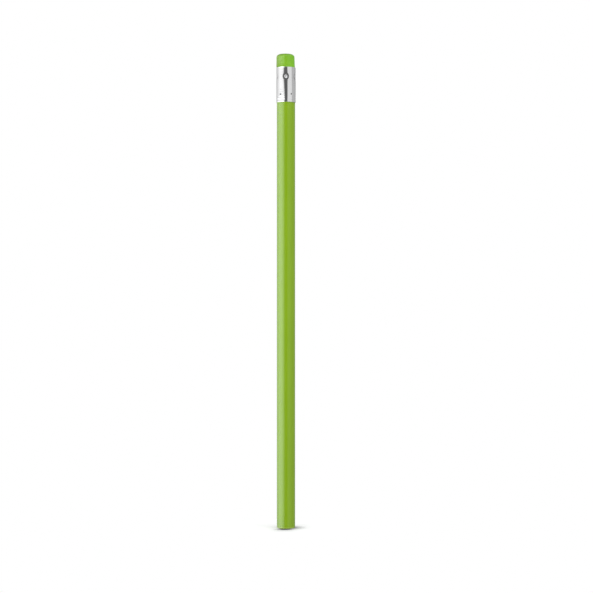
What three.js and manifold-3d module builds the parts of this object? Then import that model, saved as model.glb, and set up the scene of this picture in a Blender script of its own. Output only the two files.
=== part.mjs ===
// Round wood-cased pencil with a crimped aluminium ferrule and a rubber eraser, unsharpened, standing on end.
// Millimetres, +Z up. The origin is the centre of the writing end, and +Z runs along the lead to the eraser.
import * as THREE from "three";
import { mergeVertices } from "three/addons/utils/BufferGeometryUtils.js";
import Module from "manifold-3d";

// Barrel: two grooved slats, glued together round the lead and lacquered
const BARREL_LENGTH = 170.6; // lacquered length that shows below the ferrule
const BARREL_DIAMETER = 7.35; // over the lacquer
const LACQUER_THICKNESS = 0.1;
const LEAD_DIAMETER = 2;
const GLUE_FILM = 0.05; // between the two slats, and between their grooves and the lead
const END_ROUND = 0.3; // broken edge of the wood at the writing end
const TENON_LENGTH = 5.2; // bare wood, turned down to take the ferrule
const TENON_CHAMFER = 0.3;

// Eraser: a rubber plug with a rounded upper edge
const ERASER_DIAMETER = 7.45; // where it swells out above the ferrule
const ERASER_EXPOSED = 5.4;
const ERASER_GRIPPED = 8.1; // length held inside the ferrule
const ERASER_ROUND_WIDTH = 1.6; // of its upper edge, towards the axis
const ERASER_ROUND_HEIGHT = 1.2;
const ERASER_TAPER = 0.15; // how much its radius shrinks from the ferrule to the top
const ERASER_CHAMFER = 0.3; // on the buried end
const ERASER_SEAT_GAP = 0.1; // glue between the tenon and the plug

// Ferrule: one thin sleeve, rolled, curled and punched
const FERRULE_WALL = 0.18;
const SKIRT_LENGTH = 0.6; // how far the ferrule laps over the lacquer
const FIT_CLEARANCE = 0.05; // radial, between the ferrule and what it holds
const CURL_HEIGHT = 0.8; // upper stretch that curls in round the eraser
const RINGS_PER_BAND = 5; // rolled rings, in one band on the tenon and one on the plug
const RING_DEPTH = 0.12;
const RING_WIDTH = 0.5;
const RING_PITCH = 0.95;
const RING_MARGIN = 0.5; // from the tenon's shoulder, and from the curl, to the middle of the nearest ring

// Punch marks: a row of sharp pricks bites into the tenon, and a row of soft dimples presses on the plug
const PUNCHES_AROUND = 5; // in each row
const PRICK_RADIUS = 0.45;
const PRICK_DEPTH = 0.4;
const DIMPLE_RADIUS = 2.6;
const DIMPLE_DEPTH = 0.6;

// Facets of the round surfaces for each punch mark: even, so that an edge runs through every mark's middle
const BARREL_FACETS_PER_PUNCH = 8;
const FERRULE_FACETS_PER_PUNCH = 12;
const ROUND_DIVISIONS = 2; // an outline's round has twice as many straight steps
const CURL_STEPS = 4;
const PUNCH_STEPS = 3; // heights at which a gripped piece is cut, on each side of a row of punch marks

const barrelRadius = BARREL_DIAMETER / 2;
const woodRadius = barrelRadius - LACQUER_THICKNESS;
const grooveRadius = LEAD_DIAMETER / 2 + GLUE_FILM;
const shoulderHeight = BARREL_LENGTH + SKIRT_LENGTH;
const tenonTop = shoulderHeight + TENON_LENGTH;
const eraserBase = tenonTop + ERASER_SEAT_GAP;
const rimHeight = eraserBase + ERASER_GRIPPED;
const ferruleInner = barrelRadius + FIT_CLEARANCE;
const ferruleOuter = ferruleInner + FERRULE_WALL;
const gripRadius = ferruleInner - RING_DEPTH - FIT_CLEARANCE; // what fits inside the rolled rings
const tenonRadius = Math.min(gripRadius, woodRadius);

const barrelFacets = BARREL_FACETS_PER_PUNCH * PUNCHES_AROUND;
const ferruleFacets = FERRULE_FACETS_PER_PUNCH * PUNCHES_AROUND;

// Each row of punch marks sits halfway along what it grips, and the rows are turned so that they alternate.
const tenonRow = {
  height: shoulderHeight + TENON_LENGTH / 2,
  turn: Math.PI / PUNCHES_AROUND,
  radius: PRICK_RADIUS,
  depth: PRICK_DEPTH,
};
const plugRow = {
  height: eraserBase + ERASER_GRIPPED / 2,
  turn: 0,
  radius: DIMPLE_RADIUS,
  depth: DIMPLE_DEPTH,
};

// The rings start just above the tenon's shoulder, and just below the curl.
const ringHeights = [];
for (let i = 0; i < RINGS_PER_BAND; i++) {
  ringHeights.push(shoulderHeight + RING_MARGIN + i * RING_PITCH);
  ringHeights.push(rimHeight - CURL_HEIGHT - RING_MARGIN - i * RING_PITCH);
}

const wasm = await Module();
wasm.setup();

// A closed geometry as a solid that can be cut.
function solidOf(geometry) {
  const bare = geometry.clone().deleteAttribute("normal").deleteAttribute("uv");
  const merged = mergeVertices(bare);
  const vertProperties = new Float32Array(merged.getAttribute("position").array);
  const triVerts = new Uint32Array(merged.index.array);
  return new wasm.Manifold(new wasm.Mesh({ numProp: 3, vertProperties, triVerts }));
}

// A cut solid as a geometry again.
function geometryOf(solid) {
  const { vertProperties, triVerts } = solid.getMesh();
  return new THREE.BufferGeometry()
    .setAttribute("position", new THREE.BufferAttribute(vertProperties, 3))
    .setIndex(new THREE.BufferAttribute(triVerts, 1));
}

// Turns an outline of (radius, height) points about +Z. Angle 0 faces -Y, the front.
function turned(outline, facets) {
  return new THREE.LatheGeometry(outline, facets).rotateX(Math.PI / 2);
}

// How far a row of punch marks pushes a point towards the axis.
function punchDepth(row, angle, height) {
  const step = (2 * Math.PI) / PUNCHES_AROUND;
  const turn = angle - row.turn;
  const aside = (turn - step * Math.round(turn / step)) * ferruleOuter;
  const away = Math.hypot(aside, height - row.height);
  return row.depth * Math.max(0, 1 - away / row.radius) ** 2;
}

// Sinks a row of punch marks into the wall of a turned piece that stands at a height on the pencil.
function punched(geometry, row, standsAt) {
  const position = geometry.getAttribute("position");
  const point = new THREE.Vector3();
  for (let i = 0; i < position.count; i++) {
    point.fromBufferAttribute(position, i);
    const depth = punchDepth(row, Math.atan2(point.x, -point.y), point.z + standsAt);
    const share = 1 - depth / Math.max(gripRadius, Math.hypot(point.x, point.y));
    position.setXY(i, point.x * share, point.y * share);
  }
  return geometry;
}

// Heights between two limits, close enough together for a gripped piece to take the shape of a row's marks.
function punchHeights(row, low, high) {
  const steps = Array.from({ length: 2 * PUNCH_STEPS + 1 }, (_, i) => i / PUNCH_STEPS - 1);
  const heights = steps.map((step) => row.height + step * row.radius);
  return heights.filter((height) => height > low && height < high);
}

// The wood before it is split: bored for the lead, edge broken at the writing end, tenon turned at the other.
function woodBlank() {
  const outline = new THREE.Path()
    .moveTo(grooveRadius, 0)
    .lineTo(woodRadius - END_ROUND, 0)
    .absarc(woodRadius - END_ROUND, END_ROUND, END_ROUND, -Math.PI / 2, 0)
    .lineTo(woodRadius, shoulderHeight)
    .lineTo(tenonRadius, shoulderHeight);
  for (const height of punchHeights(tenonRow, shoulderHeight, tenonTop - TENON_CHAMFER)) {
    outline.lineTo(tenonRadius, height);
  }
  outline
    .lineTo(tenonRadius, tenonTop - TENON_CHAMFER)
    .lineTo(tenonRadius - TENON_CHAMFER, tenonTop)
    .lineTo(grooveRadius, tenonTop)
    .closePath();
  return punched(turned(outline.getPoints(ROUND_DIVISIONS), barrelFacets), tenonRow, 0);
}

// One slat: the half of the blank on one side of the glued joint, -1 for the front and 1 for the back.
function slat(side) {
  const half = new THREE.BoxGeometry(2 * BARREL_DIAMETER, BARREL_DIAMETER, 3 * tenonTop);
  half.translate(0, (side * (BARREL_DIAMETER + GLUE_FILM)) / 2, 0);
  return geometryOf(solidOf(woodBlank()).intersect(solidOf(half)));
}

function lead() {
  const rod = new THREE.CylinderGeometry(LEAD_DIAMETER / 2, LEAD_DIAMETER / 2, tenonTop, barrelFacets);
  return rod.rotateX(Math.PI / 2).translate(0, 0, tenonTop / 2);
}

// The lacquer wraps the broken edge and ends flush with the bare end of the wood.
function lacquer() {
  const edge = woodRadius - END_ROUND;
  const outerRound = END_ROUND + LACQUER_THICKNESS;
  const landing = Math.asin(END_ROUND / outerRound);
  const outline = new THREE.Path()
    .moveTo(edge, 0)
    .lineTo(edge + outerRound * Math.cos(landing), 0)
    .absarc(edge, END_ROUND, outerRound, -landing, 0)
    .lineTo(barrelRadius, shoulderHeight)
    .lineTo(woodRadius, shoulderHeight)
    .lineTo(woodRadius, END_ROUND)
    .absarc(edge, END_ROUND, END_ROUND, 0, -Math.PI / 2, true);
  return turned(outline.getPoints(ROUND_DIVISIONS), barrelFacets);
}

// How far the rings and the curl bring the ferrule's wall in at a height on the pencil.
function wallInset(height) {
  const curl = Math.max(0, 1 - (rimHeight - height) / CURL_HEIGHT);
  const rings = ringHeights.map((ring) => 1 - Math.abs(height - ring) / (RING_WIDTH / 2));
  return RING_DEPTH * Math.max(0, 1 - Math.cos((curl * Math.PI) / 2), ...rings);
}

// Heights at which the ferrule's wall bends, from its lower edge to its rim, with none twice.
function wallHeights() {
  const heights = [BARREL_LENGTH, tenonRow.height, plugRow.height];
  for (const ring of ringHeights) {
    heights.push(ring - RING_WIDTH / 2, ring, ring + RING_WIDTH / 2);
  }
  for (let i = 0; i <= CURL_STEPS; i++) {
    heights.push(rimHeight - (CURL_HEIGHT * i) / CURL_STEPS);
  }
  const within = heights.filter((height) => height >= BARREL_LENGTH && height <= rimHeight);
  const distinct = new Set(within.map((height) => Number(height.toFixed(3))));
  return [...distinct].sort((a, b) => a - b);
}

// One closed outline: outside of the wall from the lower edge up, then its inside from the rim down.
function ferrule() {
  const wall = wallHeights().map((height) => ({ inset: wallInset(height), y: height - BARREL_LENGTH }));
  const outside = wall.map(({ inset, y }) => new THREE.Vector2(ferruleOuter - inset, y));
  const inside = wall.map(({ inset, y }) => new THREE.Vector2(ferruleInner - inset, y)).reverse();
  const sleeve = turned([...outside, ...inside, outside[0]], ferruleFacets);
  return punched(punched(sleeve, tenonRow, BARREL_LENGTH), plugRow, BARREL_LENGTH);
}

// Shank with the pits that the ferrule's dimples press into it, then the head that swells over the rim.
function eraser() {
  const headRadius = ERASER_DIAMETER / 2;
  const topRadius = headRadius - ERASER_TAPER;
  const flatRadius = topRadius - ERASER_ROUND_WIDTH;
  const top = ERASER_GRIPPED + ERASER_EXPOSED;
  const roundFrom = top - ERASER_ROUND_HEIGHT;
  const outline = new THREE.Path()
    .moveTo(0, 0)
    .lineTo(gripRadius - ERASER_CHAMFER, 0)
    .lineTo(gripRadius, ERASER_CHAMFER);
  for (const height of punchHeights(plugRow, eraserBase + ERASER_CHAMFER, rimHeight)) {
    outline.lineTo(gripRadius, height - eraserBase);
  }
  outline
    .lineTo(gripRadius, ERASER_GRIPPED)
    .lineTo(headRadius, ERASER_GRIPPED)
    .lineTo(topRadius, roundFrom)
    .absellipse(flatRadius, roundFrom, ERASER_ROUND_WIDTH, ERASER_ROUND_HEIGHT, 0, Math.PI / 2)
    .lineTo(0, top);
  return punched(turned(outline.getPoints(ROUND_DIVISIONS), ferruleFacets), plugRow, eraserBase);
}

const wood = { color: 0xd9b98a, roughness: 0.8, metalness: 0 };
const graphite = { color: 0x3a3b3d, roughness: 0.5, metalness: 0.2 };
const limeLacquer = { color: 0x8db032, roughness: 0.35, metalness: 0 };
const aluminium = { color: 0xe0e0e2, roughness: 0.2, metalness: 1 };
const limeRubber = { color: 0x86bf40, roughness: 0.85, metalness: 0 };

// One named piece, standing at a height on the pencil.
function piece(name, geometry, finish, standsAt = 0) {
  const mesh = new THREE.Mesh(geometry, new THREE.MeshStandardMaterial(finish));
  mesh.name = name;
  mesh.position.z = standsAt;
  return mesh;
}

const barrel = new THREE.Group();
barrel.add(
  piece("slat_front", slat(-1), wood),
  piece("slat_back", slat(1), wood),
  piece("graphite_lead", lead(), graphite),
  piece("lacquer_coat", lacquer(), limeLacquer),
);

const pencil = new THREE.Group();
pencil.add(
  barrel,
  piece("ferrule", ferrule(), aluminium, BARREL_LENGTH),
  piece("eraser", eraser(), limeRubber, eraserBase),
);

export default pencil;
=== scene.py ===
import math

import bmesh
import bpy
import numpy as np
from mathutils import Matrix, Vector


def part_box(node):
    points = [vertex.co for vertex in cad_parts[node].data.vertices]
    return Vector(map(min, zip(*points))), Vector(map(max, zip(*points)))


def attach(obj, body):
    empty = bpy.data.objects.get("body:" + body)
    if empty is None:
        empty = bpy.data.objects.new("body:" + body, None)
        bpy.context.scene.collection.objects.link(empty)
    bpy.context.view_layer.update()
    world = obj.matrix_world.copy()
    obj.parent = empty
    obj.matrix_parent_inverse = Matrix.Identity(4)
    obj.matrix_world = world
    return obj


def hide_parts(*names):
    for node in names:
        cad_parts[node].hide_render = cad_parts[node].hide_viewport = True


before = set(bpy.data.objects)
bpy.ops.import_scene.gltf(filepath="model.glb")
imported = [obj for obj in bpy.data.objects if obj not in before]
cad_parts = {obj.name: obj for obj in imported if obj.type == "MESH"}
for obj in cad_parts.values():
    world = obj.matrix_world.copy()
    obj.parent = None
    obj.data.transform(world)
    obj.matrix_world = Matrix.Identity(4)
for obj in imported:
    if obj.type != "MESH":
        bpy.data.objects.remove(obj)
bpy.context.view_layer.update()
scene = bpy.context.scene

# Lengths below are millimetres, and meshes are made in metres
MM = 0.001
# Faces that meet at more degrees than this keep a crisp edge
SHARP_ANGLE = 40.0

# Camera: level, from the front, a little to the right of the pencil
IMAGE_SIDE = 593
SENSOR_WIDTH = 36.0
CAMERA_DISTANCE = 760.0
CAMERA_SIDE = 4.24
CAMERA_HEIGHT = 92.78
PIXELS_PER_MM = 2.4915

# Studio brightness round the pencil: degrees to the right of the camera, as the pencil sees it, and level.
# The left side is white, the right side grey, and the middle is the dark gap that the camera looks through.
STUDIO_SIDES = (
    (-180.0, 0.35), (-150.0, 0.6), (-139.0, 0.66), (-119.0, 0.7), (-98.0, 0.88), (-82.0, 1.04),
    (-62.0, 1.08), (-40.0, 1.05), (-28.0, 0.93), (-20.6, 0.5), (-14.7, 0.11), (16.0, 0.115),
    (20.6, 0.77), (71.0, 0.75), (81.0, 0.46), (98.0, 0.48), (126.0, 0.5), (145.0, 0.3), (180.0, 0.27),
)
# Over the sides a soft light hangs in front and on the right
STUDIO_UPPER = (
    (-180.0, 0.4), (-110.0, 0.4), (-60.0, 0.5), (-35.0, 1.0), (-15.0, 1.25), (35.0, 1.25), (75.0, 1.3),
    (120.0, 1.0), (180.0, 0.3),
)
ZENITH_LEVEL = 0.5
ZENITH_EDGE = (60.0, 78.0)
UNDER_LEVEL = 0.7
# Strength of the world, which the ramps hold these levels as shares of. Straight in front is their middle.
STUDIO_STRENGTH = 4.2
RAMP_MIDDLE = 0.5
# Degrees that the sides reach up and down: less on the left than at the gap and on the right
RISE_EDGES = ((20.0, 28.0), (38.0, 48.0))
FALL_EDGES = ((7.4, 9.8), (30.0, 40.0))
# Degrees to the right over which they grow taller, and over which they sink again behind the pencil
TALL_FROM = (-20.0, -14.0)
TALL_TO = (165.0, 145.0)

# Floor: a disc, its colour, and a lift that makes it as white as the backdrop
FLOOR_RADIUS = 30.0
FLOOR_FACETS = 96
FLOOR_COLOUR = 0.5
FLOOR_LIFT = 0.645
# A tight and a wide contact shadow on it: how far each reaches, its least depth, and what is added to the
# right and straight in front
SHADOWS = ((5.6, 0.35, 1.6, 9.5), (14.0, 0.1, 0.3, 2.2))
# Degrees that the front part is turned to the right, and how narrow it is
SHADOW_TURN = -6.0
SHADOW_POINT = 10.0
SHADOW_SAMPLES = 16

# Strip lamps stand close on the left, beside the barrel and above the rim, where lacquer and rubber mirror
# them and most of the sleeve between doesn't: from and to degrees, and level
STRIPS = (
    (-155.0, -125.0, 0.35), (-125.0, -104.0, 0.45), (-104.0, -93.0, 1.15), (-93.0, -80.0, 2.0),
    (-80.0, -62.0, 2.75), (-62.0, -45.0, 2.8), (-45.0, -35.0, 2.3), (-35.0, -24.0, 1.4),
    (-24.0, -16.0, 0.65),
)
STRIP_DISTANCE = 12.0
# The lower row reaches from under the floor to just above the foot of the sleeve
STRIP_BELOW = 12.0
STRIP_ABOVE = 0.8
# The upper row: its ends above the rim, degrees that it is turned to the right, and its share of the level
UPPER_STRIP = (2.6, 14.0)
UPPER_TURN = 8.0
UPPER_SHARE = 0.85
# Two soft lamps further off that nothing mirrors, a fill on the left and a key high on the right: degrees to
# the right and up, distance, side length and level
SOFT_LAMPS = (("fill", -34.0, 0.0, 400.0, 420.0, 0.78), ("key", 40.0, 45.0, 450.0, 340.0, 1.0))
LAMP_TINT = (0.93, 1.0, 1.04)
# Watts that give a lamp of one square metre a level of one
LAMP_POWER = 4.0

# Ferrule
WALL = 0.18
FOOT_HEIGHT = 0.6
CURL_HEIGHT = 0.8
CURL_REACH = 0.3
CURL_INSET = 0.04
RING_COUNT = 5
RING_PITCH = 0.95
RING_WIDTH = 0.5
RING_MARGIN = 0.5
LOWER_RING_DEPTH = 0.034
UPPER_RING_DEPTH = 0.03
PUNCHES_AROUND = 5
PRICK_RISE = 3.15
PRICK_RADIUS = 0.42
PRICK_DEPTH = 0.4
DIMPLE_DROP = 3.8
DIMPLE_RADIUS = 1.5
DIMPLE_DEPTH = 0.36
DIMPLE_POWER = 1.6
DIMPLE_PRICK_DEPTH = 0.1
# The wide shallow rim round a dimple
DISH_RADIUS = 3.0
DISH_DEPTH = 0.1
DISH_POWER = 2
# Soiling and painted shade round the pricks, which reaches further on the left, and the same a little below
# the middle of the dimples
PRICK_GRIME_AND_SHADE_REACH = 0.445
PRICK_SHADE_LEFTWARD = 0.095
PRICK_GRIME_AND_SHADE_EDGE = 0.12
DIMPLE_DUST_AND_SHADE_DROP = 0.3
DIMPLE_DUST_AND_SHADE_RADIUS = 0.75
DIMPLE_DUST_AND_SHADE_EDGE = 0.3
DIMPLE_DUST_AND_SHADE_SHARE = 0.5
# Waves in the thin sheet: half height, times round, radians per millimetre up, and start
SHEET_WAVES = ((0.003, 2, 0.45, 0.7), (0.003, 3, -0.8, 2.0))
# Half depths of an oval that twists and of flats between the marks, the height over which both start at the
# foot, and how quickly the flats between the pricks give way upwards to those between the dimples
SHEET_OVAL = 0.045
SHEET_FLATS = 0.022
SHEET_START = 1.2
FLATS_CHANGE = 3
FERRULE_FACETS = 220
FERRULE_ROW = 0.07
FERRULE_INNER_ROWS = 60
FERRULE_EDGE_STEPS = 9
# Below one, the foot's edge is squarer than a half circle
FOOT_SQUARENESS = 0.6
# Keeps a last row that lies right on the end of its range
ROW_SLACK = 0.001

# Lacquer coat, with a rounded edge at the writing end
LACQUER_THICKNESS = 0.1
EDGE_WIDTH = 0.2625
EDGE_HEIGHT = 0.35
WOOD_END_ROUND = 0.3
LACQUER_FACETS = 144
LACQUER_ROW = 3.0
LACQUER_INNER_ROWS = 12
LACQUER_EDGE_STEPS = 10

# Eraser
GRIP_RADIUS = 3.6
GRIP_GAP = 0.02
SHANK_CHAMFER = 0.3
HEAD_SIDE = 3.735
HEAD_FLARE = 0.08
HEAD_TAPER = 0.1
HEAD_LEAN = 0.22
# Width and height of the rounded top edge, and its power, at which 2 is an ellipse and 1 a straight bevel
TOP_ROUND = (1.45, 1.1)
TOP_BEVEL = 1.65
# Waves round the head: half height, times round, radians per millimetre up, and start
HEAD_WAVES = ((0.012, 2, 0.0, 0.6 + math.pi), (0.008, 5, 1.0, math.pi))
ERASER_FACETS = 144
SHANK_ROWS = 90
HEAD_ROWS = 24
TOP_STEPS = 16
BASE_RINGS = (0.0, 1.2, 2.4)
TOP_RING_SHARES = (1.0, 0.8, 0.6, 0.4, 0.2, 0.0)

# Usual spans of a noise, from its darker to its lighter parts
NOISE_SPAN = (0.3, 0.7)
WIDE_SPAN = (0.3, 0.75)

# Look of the lacquer, with the heights between which it wears off at the writing end, where a highlight is
# painted too
LACQUER_SHADES = ((0.252, 0.430, 0.009, 1.0), (0.268, 0.451, 0.012, 1.0))
LACQUER_SPECK = (0.20, 0.36, 0.004, 1.0)
LACQUER_WEAR_AND_HIGHLIGHT = (0.50, 0.62, 0.13, 1.0)
LACQUER_ROUGHNESS = (0.15, 0.21)
LACQUER_IOR = 1.475
WEAR_AND_HIGHLIGHT_HEIGHTS = (1.0, 0.5)
WEAR_AND_HIGHLIGHT_RAGGEDNESS = 0.6
WEAR_AND_HIGHLIGHT_SHARE = 0.45

# Look of the metal
METAL_SHADES = ((0.90, 0.90, 0.905, 1.0), (0.94, 0.94, 0.945, 1.0))
METAL_ROUGHNESS = (0.07, 0.13)
# Soiling and painted shade in the pricks and dimples: its colour, and how much rougher it makes the metal
GRIME_AND_SHADE_COLOUR = (0.33, 0.33, 0.33, 1.0)
GRIME_AND_SHADE_ROUGHNESS = 0.4
SCUFF_WIDTH = 0.012
SCUFF_ROUGHNESS = 0.12

# Look of the rubber: plain on the right and darker on the left, a painted shade, and lighter just above the
# rim, a painted light
RUBBER_PLAIN_AND_SHADED = ((0.208, 0.525, 0.013, 1.0), (0.203, 0.370, 0.012, 1.0))
# Colour of the soiling and painted shade on the rounded top
RUBBER_SOIL_AND_SHADE = (0.155, 0.325, 0.008, 1.0)
RUBBER_GRIT = (0.17, 0.40, 0.03, 1.0)
RUBBER_ROUGHNESS = (0.32, 0.39)
# Painted shade on the left: the half width across which it grows, and its random change
LEFT_SHADE_HALF_WIDTH = 3.5
LEFT_SHADE_CLOUDS = (-0.04, 0.04)
# Painted light that makes the rubber lighter towards the rim: the height it spans, and its levels at the top
# of that height and at the rim
RIM_LIGHT_HEIGHT = 3.5
RIM_LIGHT_LEVELS = (1.06, 1.14)

# Look of the wood: shades of early and late wood, and the pith that the year rings of each slat go round
WOOD_SHADES = ((0.70, 0.50, 0.30, 1.0), (0.50, 0.31, 0.16, 1.0))
WOOD_PORE = (0.30, 0.18, 0.09, 1.0)
WOOD_SAWN = (0.78, 0.60, 0.40, 1.0)
WOOD_ROUGHNESS = (0.62, 0.85)
YEAR_RING = 0.95
YEAR_RING_WANDER = 0.9
LATE_WOOD = (0.35, 0.97)
FRONT_PITH = (-11.0, -17.0)
BACK_PITH = (19.0, -8.0)

# Look of the lead
GRAPHITE_SHADES = ((0.030, 0.030, 0.034, 1.0), (0.085, 0.085, 0.092, 1.0))
GRAPHITE_ROUGHNESS = (0.5, 0.3)
GRAPHITE_METALLIC = 0.35


def mm_box(node):
    low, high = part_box(node)
    return np.array(low) / MM, np.array(high) / MM


# Sizes that come from the solids
ferrule_low, ferrule_high = mm_box("ferrule")
_, lacquer_high = mm_box("lacquer_coat")
eraser_low, eraser_high = mm_box("eraser")
FERRULE_RADIUS = ferrule_high[0]
FERRULE_BOTTOM, RIM = ferrule_low[2], ferrule_high[2]
BARREL_RADIUS, BARREL_TOP = lacquer_high[0], lacquer_high[2]
ERASER_BASE, ERASER_TOP = eraser_low[2], eraser_high[2]


# Meshes
def mesh_object(name, points, ring):
    """A closed mesh from rows of points round the axis, in millimetres.
    With ring, the last row joins the first. Otherwise the first and last rows each close in one point."""
    rows, columns = points.shape[:2]
    if ring:
        corners = points.reshape(-1, 3)
        first = 0
        pairs = [(i, (i + 1) % rows) for i in range(rows)]
    else:
        corners = np.concatenate((points[:1, 0], points[1:-1].reshape(-1, 3), points[-1:, 0]))
        first = 1
        pairs = [(i, i + 1) for i in range(rows - 3)]
    faces = []
    for a, b in pairs:
        for j in range(columns):
            k = (j + 1) % columns
            faces.append((first + a * columns + j, first + a * columns + k,
                          first + b * columns + k, first + b * columns + j))
    if not ring:
        top = len(corners) - 1
        last = first + (rows - 3) * columns
        for j in range(columns):
            k = (j + 1) % columns
            faces.append((0, first + k, first + j))
            faces.append((top, last + j, last + k))
    mesh = bpy.data.meshes.new(name)
    mesh.from_pydata((corners * MM).tolist(), [], faces)
    work = bmesh.new()
    work.from_mesh(mesh)
    bmesh.ops.recalc_face_normals(work, faces=work.faces)
    work.to_mesh(mesh)
    work.free()
    mesh.shade_smooth()
    mesh.set_sharp_from_angle(angle=math.radians(SHARP_ANGLE))
    made = bpy.data.objects.new(name, mesh)
    scene.collection.objects.link(made)
    return made


def placed(radius, height, angle):
    """Points at a radius and height, at an angle that is 0 in front and grows to the right."""
    radius, height, angle = np.broadcast_arrays(radius, height, angle)
    return np.stack((radius * np.sin(angle), -radius * np.cos(angle), height), axis=-1)


def angles(count):
    return np.arange(count) * (2 * math.pi / count)


def eased(value):
    t = np.clip(value, 0.0, 1.0)
    return t * t * (3 - 2 * t)


def waves(sizes, height, angle):
    """Sum of waves that never go below 0, so that a radius that they are taken off never grows."""
    return sum(half * (1 + np.sin(times * angle + climb * height + start))
               for half, times, climb, start in sizes)


def save_values(made, name, values):
    """Keeps one number per vertex, for the material to read."""
    kept = made.data.attributes.new(name, "FLOAT", "POINT")
    kept.data.foreach_set("value", values.astype(np.float32).ravel())


# Shader helpers
def add(tree, kind, inputs=None, **settings):
    """A new node. An input that is a socket is linked, and any other value is set."""
    made = tree.nodes.new(kind)
    for name, value in settings.items():
        setattr(made, name, value)
    for name, value in (inputs or {}).items():
        if isinstance(value, bpy.types.NodeSocket):
            tree.links.new(value, made.inputs[name])
        else:
            made.inputs[name].default_value = value
    return made


def grey(level):
    return (level, level, level, 1.0)


def calc(tree, operation, a, b=0.0):
    return add(tree, "ShaderNodeMath", {0: a, 1: b}, operation=operation).outputs[0]


def remap(tree, value, span, to=(0.0, 1.0), smooth=True):
    """Carries a value over from one span to another, and keeps it inside that one."""
    kind = "SMOOTHSTEP" if smooth else "LINEAR"
    inputs = {"Value": value, "From Min": span[0], "From Max": span[1], "To Min": to[0], "To Max": to[1]}
    return add(tree, "ShaderNodeMapRange", inputs, interpolation_type=kind).outputs["Result"]


def mix_values(tree, factor, a, b):
    """Between two numbers, which are the sockets 2 and 3 of a mix node."""
    return add(tree, "ShaderNodeMix", {0: factor, 2: a, 3: b}).outputs[0]


def mix(tree, factor, a, b):
    """Between two colours, which are the sockets 6 and 7 of a mix node."""
    return add(tree, "ShaderNodeMix", {0: factor, 6: a, 7: b}, data_type="RGBA").outputs[2]


def axes_of(tree, vector):
    return add(tree, "ShaderNodeSeparateXYZ", {0: vector}).outputs


def object_place(tree):
    return add(tree, "ShaderNodeTexCoord").outputs["Object"]


def saved_value(tree, name):
    return add(tree, "ShaderNodeAttribute", attribute_name=name).outputs["Fac"]


def stretched(tree, place, factors):
    """A place at which a pattern is drawn out along each axis that has a factor below one."""
    return add(tree, "ShaderNodeVectorMath", {0: place, 1: factors}, operation="MULTIPLY").outputs[0]


def noise(tree, place, scale, detail=2.0, roughness=0.5):
    inputs = {"Vector": place, "Scale": scale, "Detail": detail, "Roughness": roughness}
    return add(tree, "ShaderNodeTexNoise", inputs).outputs[0]


def bump(tree, height, depth, strength, normal=None):
    """Depth is in millimetres."""
    inputs = {"Height": height, "Distance": depth * MM, "Strength": strength}
    if normal is not None:
        inputs["Normal"] = normal
    return add(tree, "ShaderNodeBump", inputs).outputs[0]


def new_material(name):
    made = bpy.data.materials.new(name)
    made.use_nodes = True
    return made, made.node_tree, made.node_tree.nodes["Principled BSDF"]


def join(tree, shader, **sockets):
    for name, value in sockets.items():
        tree.links.new(value, shader.inputs[name.replace("_", " ")])


# Camera
def make_camera():
    data = bpy.data.cameras.new("camera")
    data.sensor_fit = "HORIZONTAL"
    data.sensor_width = SENSOR_WIDTH
    data.lens = SENSOR_WIDTH * CAMERA_DISTANCE * PIXELS_PER_MM / IMAGE_SIDE
    camera = bpy.data.objects.new("camera", data)
    camera.location = (CAMERA_SIDE * MM, -CAMERA_DISTANCE * MM, CAMERA_HEIGHT * MM)
    camera.rotation_euler = (math.pi / 2, 0.0, 0.0)
    scene.collection.objects.link(camera)
    scene.camera = camera
    scene.view_settings.view_transform = "Standard"


# Studio light
def level_ramp(tree, turn, levels):
    """Brightness round the horizon, as a share of the world's strength."""
    made = add(tree, "ShaderNodeValToRGB", {0: remap(tree, turn, (-math.pi, math.pi), smooth=False)})
    stops = made.color_ramp.elements
    while len(stops) < len(levels):
        stops.new(RAMP_MIDDLE)
    for stop, (degrees, level) in zip(stops, levels):
        stop.position = degrees / 360 + RAMP_MIDDLE
        stop.color = grey(level / STUDIO_STRENGTH)
    return made.outputs[0]


def make_world():
    world = bpy.data.worlds.new("studio")
    world.use_nodes = True
    tree = world.node_tree
    tree.nodes.clear()
    axes = axes_of(tree, add(tree, "ShaderNodeTexCoord").outputs["Generated"])
    turn = calc(tree, "ARCTAN2", axes[0], calc(tree, "MULTIPLY", axes[1], -1.0))
    degrees = calc(tree, "DEGREES", turn)
    rise = calc(tree, "DEGREES", calc(tree, "ARCSINE", axes[2]))
    fall = calc(tree, "MULTIPLY", rise, -1.0)
    tall = calc(tree, "MULTIPLY", remap(tree, degrees, TALL_FROM), remap(tree, degrees, TALL_TO))

    def past_sides(angle, edges):
        low, high = (remap(tree, angle, edge) for edge in edges)
        return mix_values(tree, tall, low, high)

    upper = mix(tree, remap(tree, rise, ZENITH_EDGE), level_ramp(tree, turn, STUDIO_UPPER),
                grey(ZENITH_LEVEL / STUDIO_STRENGTH))
    room = mix(tree, past_sides(rise, RISE_EDGES), level_ramp(tree, turn, STUDIO_SIDES), upper)
    room = mix(tree, past_sides(fall, FALL_EDGES), room, grey(UNDER_LEVEL / STUDIO_STRENGTH))
    light = add(tree, "ShaderNodeBackground", {"Color": room, "Strength": STUDIO_STRENGTH})
    white = add(tree, "ShaderNodeBackground", {"Color": grey(1.0), "Strength": 1.0})
    seen = add(tree, "ShaderNodeLightPath").outputs["Is Camera Ray"]
    both = add(tree, "ShaderNodeMixShader", {0: seen, 1: light.outputs[0], 2: white.outputs[0]})
    add(tree, "ShaderNodeOutputWorld", {0: both.outputs[0]})
    scene.world = world


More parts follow.
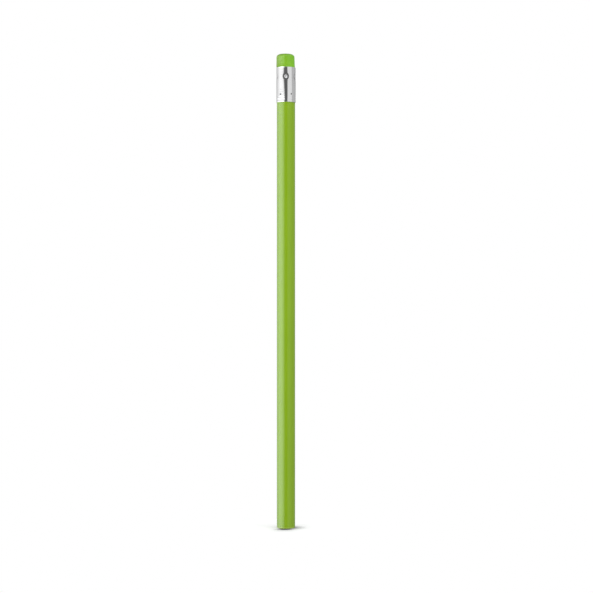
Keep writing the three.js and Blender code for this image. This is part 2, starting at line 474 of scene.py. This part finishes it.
def add_lamp(name, turn, rise, distance, middle, size, level):
    """An area lamp that faces a point on the pencil's axis, and that the picture doesn't show."""
    data = bpy.data.lights.new(name, "AREA")
    data.shape = "RECTANGLE"
    data.size, data.size_y = size[0] * MM, size[1] * MM
    data.energy = LAMP_POWER * data.size * data.size_y * level
    data.color = LAMP_TINT
    made = bpy.data.objects.new(name, data)
    made.location = placed(distance * math.cos(rise), middle + distance * math.sin(rise), turn) * MM
    made.rotation_euler = (math.pi / 2 - rise, 0.0, turn)
    made.visible_camera = False
    scene.collection.objects.link(made)
    return made


def make_lamps():
    """Two rows of strips that show only as gloss, and two soft lamps that don't show as gloss."""
    rows = (("lower", -STRIP_BELOW, FERRULE_BOTTOM + STRIP_ABOVE, 0.0, 1.0),
            ("upper", RIM + UPPER_STRIP[0], RIM + UPPER_STRIP[1], UPPER_TURN, UPPER_SHARE))
    for row, low, high, turn, share in rows:
        for i, (start, end, level) in enumerate(STRIPS):
            middle = math.radians((start + end) / 2 + turn)
            half = math.radians((end - start) / 2)
            size = (2 * STRIP_DISTANCE * math.sin(half), high - low)
            strip = add_lamp(f"{row}_strip_{i + 1}", middle, 0.0, STRIP_DISTANCE * math.cos(half),
                             (low + high) / 2, size, level * share)
            strip.visible_diffuse = False
    for name, turn, rise, distance, side, level in SOFT_LAMPS:
        soft = add_lamp(name, math.radians(turn), math.radians(rise), distance, CAMERA_HEIGHT,
                        (side, side), level)
        soft.visible_glossy = False


# Floor
def contact_shade(tree):
    """What the nearby barrel leaves of the floor's brightness, darkest in front of it and to its right."""
    away = add(tree, "ShaderNodeVectorMath", {0: object_place(tree)}, operation="NORMALIZE").outputs[0]
    right = remap(tree, axes_of(tree, away)[0], (-1.0, 1.0))
    turn = math.radians(SHADOW_TURN)
    front = add(tree, "ShaderNodeVectorMath", {0: away, 1: (math.sin(turn), -math.cos(turn), 0.0)},
                operation="DOT_PRODUCT").outputs["Value"]
    front = calc(tree, "POWER", calc(tree, "MAXIMUM", front, 0.0), SHADOW_POINT)
    shade = 1.0
    for reach, least, to_right, to_front in SHADOWS:
        near = add(tree, "ShaderNodeAmbientOcclusion", {"Distance": reach * MM}, samples=SHADOW_SAMPLES)
        beside = calc(tree, "MULTIPLY", right, to_right)
        ahead = calc(tree, "MULTIPLY", front, to_front)
        depth = calc(tree, "ADD", calc(tree, "ADD", beside, ahead), least)
        shade = calc(tree, "MULTIPLY", calc(tree, "POWER", near.outputs["AO"], depth), shade)
    return shade


def floor_material():
    """White, with the contact shadow. From below it is clear, so that the writing end can be seen."""
    made = bpy.data.materials.new("floor_white")
    made.use_nodes = True
    tree = made.node_tree
    tree.nodes.clear()
    path = add(tree, "ShaderNodeLightPath").outputs
    seen = calc(tree, "MAXIMUM", path["Is Camera Ray"], path["Is Glossy Ray"])
    seen = calc(tree, "MAXIMUM", seen, path["Is Transmission Ray"])
    shade = mix_values(tree, seen, 1.0, contact_shade(tree))
    strength = calc(tree, "MULTIPLY", calc(tree, "MULTIPLY", seen, FLOOR_LIFT), shade)
    lift = add(tree, "ShaderNodeEmission", {"Strength": strength})
    matte = add(tree, "ShaderNodeBsdfDiffuse", {"Color": mix(tree, shade, grey(0.0), grey(FLOOR_COLOUR))})
    top = add(tree, "ShaderNodeAddShader", {0: matte.outputs[0], 1: lift.outputs[0]})
    clear = add(tree, "ShaderNodeBsdfTransparent")
    below = add(tree, "ShaderNodeNewGeometry").outputs["Backfacing"]
    both = add(tree, "ShaderNodeMixShader", {0: below, 1: top.outputs[0], 2: clear.outputs[0]})
    add(tree, "ShaderNodeOutputMaterial", {0: both.outputs[0]})
    return made


def make_floor():
    corners = placed(FLOOR_RADIUS, 0.0, angles(FLOOR_FACETS)) * MM
    mesh = bpy.data.meshes.new("floor")
    mesh.from_pydata(corners.tolist(), [], [tuple(range(FLOOR_FACETS))])
    floor = bpy.data.objects.new("floor", mesh)
    scene.collection.objects.link(floor)
    floor.visible_glossy = False
    floor.visible_diffuse = False
    mesh.materials.append(floor_material())


# Materials
def lacquer_material():
    made, tree, shader = new_material("lime_lacquer")
    place = object_place(tree)
    height = axes_of(tree, place)[2]
    cloud = noise(tree, stretched(tree, place, (1.0, 1.0, 0.25)), scale=220.0, detail=3.0)
    colour = mix(tree, remap(tree, cloud, NOISE_SPAN), *LACQUER_SHADES)
    specks = noise(tree, place, scale=5200.0)
    colour = mix(tree, remap(tree, specks, (0.62, 0.8), (0.0, 0.35)), colour, LACQUER_SPECK)
    # Paint rubbed thin and lighter on the rounded edge of the writing end, which is also a painted highlight
    ragged = noise(tree, place, scale=1500.0, detail=4.0, roughness=0.65)
    reach = calc(tree, "ADD", height, calc(tree, "MULTIPLY", ragged, WEAR_AND_HIGHLIGHT_RAGGEDNESS * MM))
    wear_and_painted_light = remap(tree, reach, [level * MM for level in WEAR_AND_HIGHLIGHT_HEIGHTS])
    colour = mix(tree, calc(tree, "MULTIPLY", wear_and_painted_light, WEAR_AND_HIGHLIGHT_SHARE), colour, LACQUER_WEAR_AND_HIGHLIGHT)
    # Streaks of the wood grain under the paint, and the fine orange peel of the dip coating
    grain = noise(tree, stretched(tree, place, (1.0, 1.0, 0.03)), scale=1500.0, detail=3.0)
    peel = noise(tree, place, scale=950.0)
    haze = noise(tree, stretched(tree, place, (1.0, 1.0, 0.3)), scale=400.0, detail=4.0, roughness=0.6)
    rough = remap(tree, haze, WIDE_SPAN, LACQUER_ROUGHNESS)
    normal = bump(tree, grain, depth=0.001, strength=0.3)
    normal = bump(tree, peel, depth=0.001, strength=0.3, normal=normal)
    join(tree, shader, Base_Color=colour, Roughness=rough, Normal=normal)
    shader.inputs["IOR"].default_value = LACQUER_IOR
    return made


def ferrule_material():
    made, tree, shader = new_material("drawn_aluminium")
    place = object_place(tree)
    grime_and_shade = saved_value(tree, "pit_grime_and_shade")
    lines = noise(tree, stretched(tree, place, (0.01, 0.01, 1.0)), scale=9000.0, detail=3.0, roughness=0.6)
    smudge = noise(tree, place, scale=420.0, detail=4.0, roughness=0.6)
    cells = add(tree, "ShaderNodeTexVoronoi",
                {"Vector": stretched(tree, place, (1.0, 1.0, 0.35)), "Scale": 1300.0},
                feature="DISTANCE_TO_EDGE")
    scuff = remap(tree, cells.outputs["Distance"], (SCUFF_WIDTH, 0.0))
    colour = mix(tree, remap(tree, lines, (0.35, 0.65)), *METAL_SHADES)
    # Soiling and painted shade darken the pricks and dimples, and make them rougher
    colour = mix(tree, grime_and_shade, colour, GRIME_AND_SHADE_COLOUR)
    rough = remap(tree, smudge, WIDE_SPAN, METAL_ROUGHNESS)
    rough = calc(tree, "ADD", rough, calc(tree, "MULTIPLY", grime_and_shade, GRIME_AND_SHADE_ROUGHNESS))
    rough = calc(tree, "ADD", rough, calc(tree, "MULTIPLY", scuff, SCUFF_ROUGHNESS))
    normal = bump(tree, lines, depth=0.002, strength=0.4)
    normal = bump(tree, scuff, depth=0.003, strength=-0.25, normal=normal)
    join(tree, shader, Base_Color=colour, Roughness=rough, Normal=normal)
    shader.inputs["Metallic"].default_value = 1.0
    return made


def eraser_material():
    made, tree, shader = new_material("green_rubber")
    place = object_place(tree)
    axes = axes_of(tree, place)
    cloud = noise(tree, place, scale=350.0, detail=4.0, roughness=0.6)
    grit = noise(tree, place, scale=6500.0, detail=3.0, roughness=0.6)
    dents = noise(tree, place, scale=1100.0, detail=3.0)
    # Painted shade that darkens the left side, and painted light that makes the rubber lighter towards the
    # rim of the sleeve
    left_shade = remap(tree, axes[0], (LEFT_SHADE_HALF_WIDTH * MM, -LEFT_SHADE_HALF_WIDTH * MM), smooth=False)
    left_shade = calc(tree, "ADD", left_shade, remap(tree, cloud, NOISE_SPAN, LEFT_SHADE_CLOUDS))
    colour = mix(tree, left_shade, *RUBBER_PLAIN_AND_SHADED)
    rim_light = remap(tree, axes[2], ((RIM + RIM_LIGHT_HEIGHT) * MM, RIM * MM), RIM_LIGHT_LEVELS)
    colour = add(tree, "ShaderNodeVectorMath", {0: colour, "Scale": rim_light}, operation="SCALE").outputs[0]
    # Soiling and painted shade on the rounded top
    soil_and_shade = calc(tree, "MULTIPLY", saved_value(tree, "wear_and_painted_light"), remap(tree, dents, (0.35, 0.7), (0.7, 0.95)))
    colour = mix(tree, soil_and_shade, colour, RUBBER_SOIL_AND_SHADE)
    colour = mix(tree, remap(tree, grit, (0.66, 0.8), (0.0, 0.2)), colour, RUBBER_GRIT)
    rough = remap(tree, dents, NOISE_SPAN, RUBBER_ROUGHNESS)
    normal = bump(tree, dents, depth=0.02, strength=0.05)
    normal = bump(tree, grit, depth=0.03, strength=0.12, normal=normal)
    join(tree, shader, Base_Color=colour, Roughness=rough, Normal=normal)
    return made


def wood_material(name, pith):
    """Year rings round a pith that lies outside the slat, with fine pores and saw marks."""
    made, tree, shader = new_material(name)
    place = object_place(tree)
    wander = noise(tree, stretched(tree, place, (1.0, 1.0, 0.05)), scale=350.0)
    flat = stretched(tree, place, (1.0, 1.0, 0.0))
    distance = add(tree, "ShaderNodeVectorMath", {0: flat, 1: (pith[0] * MM, pith[1] * MM, 0.0)},
                   operation="DISTANCE").outputs["Value"]
    distance = calc(tree, "ADD", distance, calc(tree, "MULTIPLY", wander, YEAR_RING_WANDER * MM))
    ring = calc(tree, "FRACT", calc(tree, "MULTIPLY", distance, 1 / (YEAR_RING * MM)))
    pores = noise(tree, stretched(tree, place, (1.0, 1.0, 0.04)), scale=9000.0, roughness=0.6)
    saw = noise(tree, stretched(tree, place, (0.06, 1.0, 1.0)), scale=5200.0, roughness=0.6)
    colour = mix(tree, remap(tree, ring, LATE_WOOD), *WOOD_SHADES)
    colour = mix(tree, remap(tree, pores, (0.58, 0.72), (0.0, 0.6)), colour, WOOD_PORE)
    colour = mix(tree, remap(tree, saw, (0.55, 0.75), (0.0, 0.25)), colour, WOOD_SAWN)
    rough = remap(tree, pores, NOISE_SPAN, WOOD_ROUGHNESS)
    normal = bump(tree, pores, depth=0.03, strength=-0.5)
    normal = bump(tree, saw, depth=0.02, strength=0.4, normal=normal)
    join(tree, shader, Base_Color=colour, Roughness=rough, Normal=normal)
    return made


def graphite_material():
    made, tree, shader = new_material("fired_graphite")
    place = object_place(tree)
    flakes = noise(tree, place, scale=7000.0, detail=4.0, roughness=0.65)
    cut = noise(tree, stretched(tree, place, (0.08, 1.0, 1.0)), scale=4200.0, roughness=0.6)
    colour = mix(tree, remap(tree, flakes, (0.35, 0.7)), *GRAPHITE_SHADES)
    rough = remap(tree, flakes, WIDE_SPAN, GRAPHITE_ROUGHNESS)
    normal = bump(tree, flakes, depth=0.012, strength=0.5)
    normal = bump(tree, cut, depth=0.015, strength=0.5, normal=normal)
    join(tree, shader, Base_Color=colour, Roughness=rough, Normal=normal)
    shader.inputs["Metallic"].default_value = GRAPHITE_METALLIC
    return made


# Ferrule
def ring_inset(height):
    inset = np.zeros_like(height)
    rows = [(FERRULE_BOTTOM + FOOT_HEIGHT + RING_MARGIN, RING_PITCH, LOWER_RING_DEPTH),
            (RIM - CURL_HEIGHT - RING_MARGIN, -RING_PITCH, UPPER_RING_DEPTH)]
    for start, step, depth in rows:
        for i in range(RING_COUNT):
            away = np.abs(height - (start + i * step)) / (RING_WIDTH / 2)
            inset += depth * np.where(away < 1, np.cos(away * math.pi / 2) ** 2, 0.0)
    return inset


def curl_inset(height):
    t = np.clip((height - (RIM - CURL_REACH)) / CURL_REACH, 0.0, 1.0)
    return CURL_INSET * (1 - np.cos(t * math.pi / 2))


def punch_distance(height, angle, level, turn):
    """Distance to the middle of the nearest mark in a row that is at one level, turned by an angle."""
    step = 2 * math.pi / PUNCHES_AROUND
    off = (angle - turn + step / 2) % step - step / 2
    return np.hypot(off * FERRULE_RADIUS, height - level)


def from_prick(height, angle):
    return punch_distance(height, angle, FERRULE_BOTTOM + PRICK_RISE, math.pi / PUNCHES_AROUND)


def from_dimple(height, angle, drop=0.0):
    return punch_distance(height, angle, RIM - DIMPLE_DROP - drop, 0.0)


def punch_depth(height, angle):
    """Sharp pricks over the tenon, and over the eraser soft dimples in wide dishes with pricked middles."""
    depth = PRICK_DEPTH * eased(1 - from_prick(height, angle) / PRICK_RADIUS)
    away = from_dimple(height, angle)
    depth += DIMPLE_DEPTH * np.clip(1 - away / DIMPLE_RADIUS, 0, 1) ** DIMPLE_POWER
    depth += DISH_DEPTH * np.clip(1 - away / DISH_RADIUS, 0, 1) ** DISH_POWER
    return depth + DIMPLE_PRICK_DEPTH * eased(1 - away / PRICK_RADIUS)


def pit_grime_and_shade(height, angle):
    """Soiling and painted shade in the pricks and dimples, from 0 to 1."""
    reach = PRICK_GRIME_AND_SHADE_REACH - PRICK_SHADE_LEFTWARD * np.sin(angle)
    pricks = eased((reach - from_prick(height, angle)) / PRICK_GRIME_AND_SHADE_EDGE)
    dimple_dust_and_shade = eased((DIMPLE_DUST_AND_SHADE_RADIUS - from_dimple(height, angle, DIMPLE_DUST_AND_SHADE_DROP)) / DIMPLE_DUST_AND_SHADE_EDGE)
    return np.maximum(pricks, DIMPLE_DUST_AND_SHADE_SHARE * dimple_dust_and_shade)


def sheet_sway(height, angle):
    """Unevenness of the thin sheet, always inwards."""
    share = np.clip((height - FERRULE_BOTTOM) / (RIM - FERRULE_BOTTOM), 0.0, 1.0)
    oval = 1 + np.sin(2 * angle + math.pi * (1 - share))
    flats = 1 + np.cos(PUNCHES_AROUND * angle) * np.clip(FLATS_CHANGE * share - 1, -1.0, 1.0)
    start = eased((height - FERRULE_BOTTOM) / SHEET_START)
    return waves(SHEET_WAVES, height, angle) + start * (SHEET_OVAL * oval + SHEET_FLATS * flats)


def wall_outside(height, angle):
    marks = ring_inset(height) + curl_inset(height) + punch_depth(height, angle)
    return FERRULE_RADIUS - marks - sheet_sway(height, angle)


def make_ferrule():
    """Up the outside, over the rim, down the inside and round the foot."""
    around = angles(FERRULE_FACETS)[None, :]
    half = WALL / 2
    low, high = FERRULE_BOTTOM + half, RIM - half
    outer = np.arange(low, high + ROW_SLACK, FERRULE_ROW)[:, None]
    inner = np.linspace(high, low, FERRULE_INNER_ROWS)[:, None]
    bend = np.linspace(0, math.pi, FERRULE_EDGE_STEPS)[1:-1, None]
    rim_side, rim_height = half * np.cos(bend), high + half * np.sin(bend)
    squarer = np.sign(np.cos(bend)) * np.abs(np.cos(bend)) ** FOOT_SQUARENESS
    foot_side, foot_height = half * squarer, low - half * np.sin(bend) ** FOOT_SQUARENESS
    rim_wall = wall_outside(np.full_like(bend, high), around)
    foot_wall = wall_outside(np.full_like(bend, low), around)
    rows = (placed(wall_outside(outer, around), outer, around),
            placed(rim_wall - half + rim_side, rim_height, around),
            placed(wall_outside(inner, around) - WALL, inner, around),
            placed(foot_wall - half - foot_side, foot_height, around))
    made = mesh_object("ferrule_sleeve", np.concatenate(rows), True)
    heights = np.concatenate((outer, rim_height, inner, foot_height))
    save_values(made, "pit_grime_and_shade", pit_grime_and_shade(heights, around))
    made.data.materials.append(ferrule_material())
    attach(made, "root")
    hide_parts("ferrule")


# Lacquer
def make_lacquer():
    """Round the edge of the writing end, up the outside, down along the wood and round its end."""
    around = angles(LACQUER_FACETS)[None, :]
    wood = BARREL_RADIUS - LACQUER_THICKNESS
    flat = wood - WOOD_END_ROUND
    bend = np.linspace(0, math.pi / 2, LACQUER_EDGE_STEPS)
    outline = [(flat, 0.0)]
    for t in bend:
        outline.append((BARREL_RADIUS - EDGE_WIDTH * (1 - math.sin(t)), EDGE_HEIGHT * (1 - math.cos(t))))
    steps = int((BARREL_TOP - EDGE_HEIGHT) / LACQUER_ROW)
    outline += [(BARREL_RADIUS, h) for h in np.linspace(EDGE_HEIGHT, BARREL_TOP, steps)[1:]]
    outline += [(wood, h) for h in np.linspace(BARREL_TOP, WOOD_END_ROUND, LACQUER_INNER_ROWS)]
    for t in bend[-2:0:-1]:
        outline.append((flat + WOOD_END_ROUND * math.sin(t), WOOD_END_ROUND * (1 - math.cos(t))))
    outline = np.array(outline)
    radius, height = outline[:, :1], outline[:, 1:]
    made = mesh_object("lacquer_shell", placed(radius, height, around), True)
    made.data.materials.append(lacquer_material())
    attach(made, "root")
    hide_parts("lacquer_coat")


# Eraser
def eraser_outline(shoulder):
    """Radius and height from the middle of the base to the middle of the top, as turned."""
    outline = [(r, ERASER_BASE) for r in (*BASE_RINGS, GRIP_RADIUS - SHANK_CHAMFER)]
    outline += [(GRIP_RADIUS, h) for h in np.linspace(ERASER_BASE + SHANK_CHAMFER, RIM, SHANK_ROWS)]
    for t in np.linspace(0, 1, HEAD_ROWS)[1:]:
        outline.append((HEAD_SIDE - HEAD_TAPER * t, RIM + t * (shoulder - RIM)))
    flat = HEAD_SIDE - HEAD_TAPER - TOP_ROUND[0]
    for t in np.linspace(0, math.pi / 2, TOP_STEPS)[1:-1]:
        aside, rise = math.cos(t) ** (2 / TOP_BEVEL), math.sin(t) ** (2 / TOP_BEVEL)
        outline.append((flat + TOP_ROUND[0] * aside, shoulder + TOP_ROUND[1] * rise))
    outline += [(flat * share, ERASER_TOP) for share in TOP_RING_SHARES]
    outline = np.array(outline)
    return outline[:, :1], outline[:, 1:]


def make_eraser():
    around = angles(ERASER_FACETS)[None, :]
    shoulder = ERASER_TOP - TOP_ROUND[1]
    radius, height = eraser_outline(shoulder)
    # Below the rim the rubber follows the inside of the sleeve, and above it swells out
    head = eased((height - RIM) / HEAD_FLARE)
    held = wall_outside(np.minimum(height, RIM), around) - WALL - GRIP_GAP
    full = radius * (1 - waves(HEAD_WAVES, height, around) / HEAD_SIDE)
    radius = np.where(height > RIM, held + (full - held) * head, np.minimum(radius, held))
    points = placed(radius, height, around)
    # Half of the lean is there from the rim on, and the rest grows up to the top
    growing = np.clip((height - RIM) / (ERASER_TOP - RIM), 0, 1)
    points[..., 0] -= HEAD_LEAN * (head + growing) / 2
    made = mesh_object("eraser_plug", points, False)
    # Soiling and painted shade on the rounded top, kept for the material
    wear_and_painted_light = eased((height - shoulder) / TOP_ROUND[1]) * np.ones_like(around)
    save_values(made, "wear_and_painted_light", np.concatenate((wear_and_painted_light[0, :1], wear_and_painted_light[1:-1].ravel(), wear_and_painted_light[-1, :1])))
    made.data.materials.append(eraser_material())
    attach(made, "root")
    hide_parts("eraser")


make_camera()
make_world()
make_floor()
make_lamps()
make_ferrule()
make_lacquer()
make_eraser()

# Wood and lead keep their solids
for node, material in (
    ("slat_front", wood_material("casing_wood_front", FRONT_PITH)),
    ("slat_back", wood_material("casing_wood_back", BACK_PITH)),
    ("graphite_lead", graphite_material()),
):
    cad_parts[node].material_slots[0].material = material
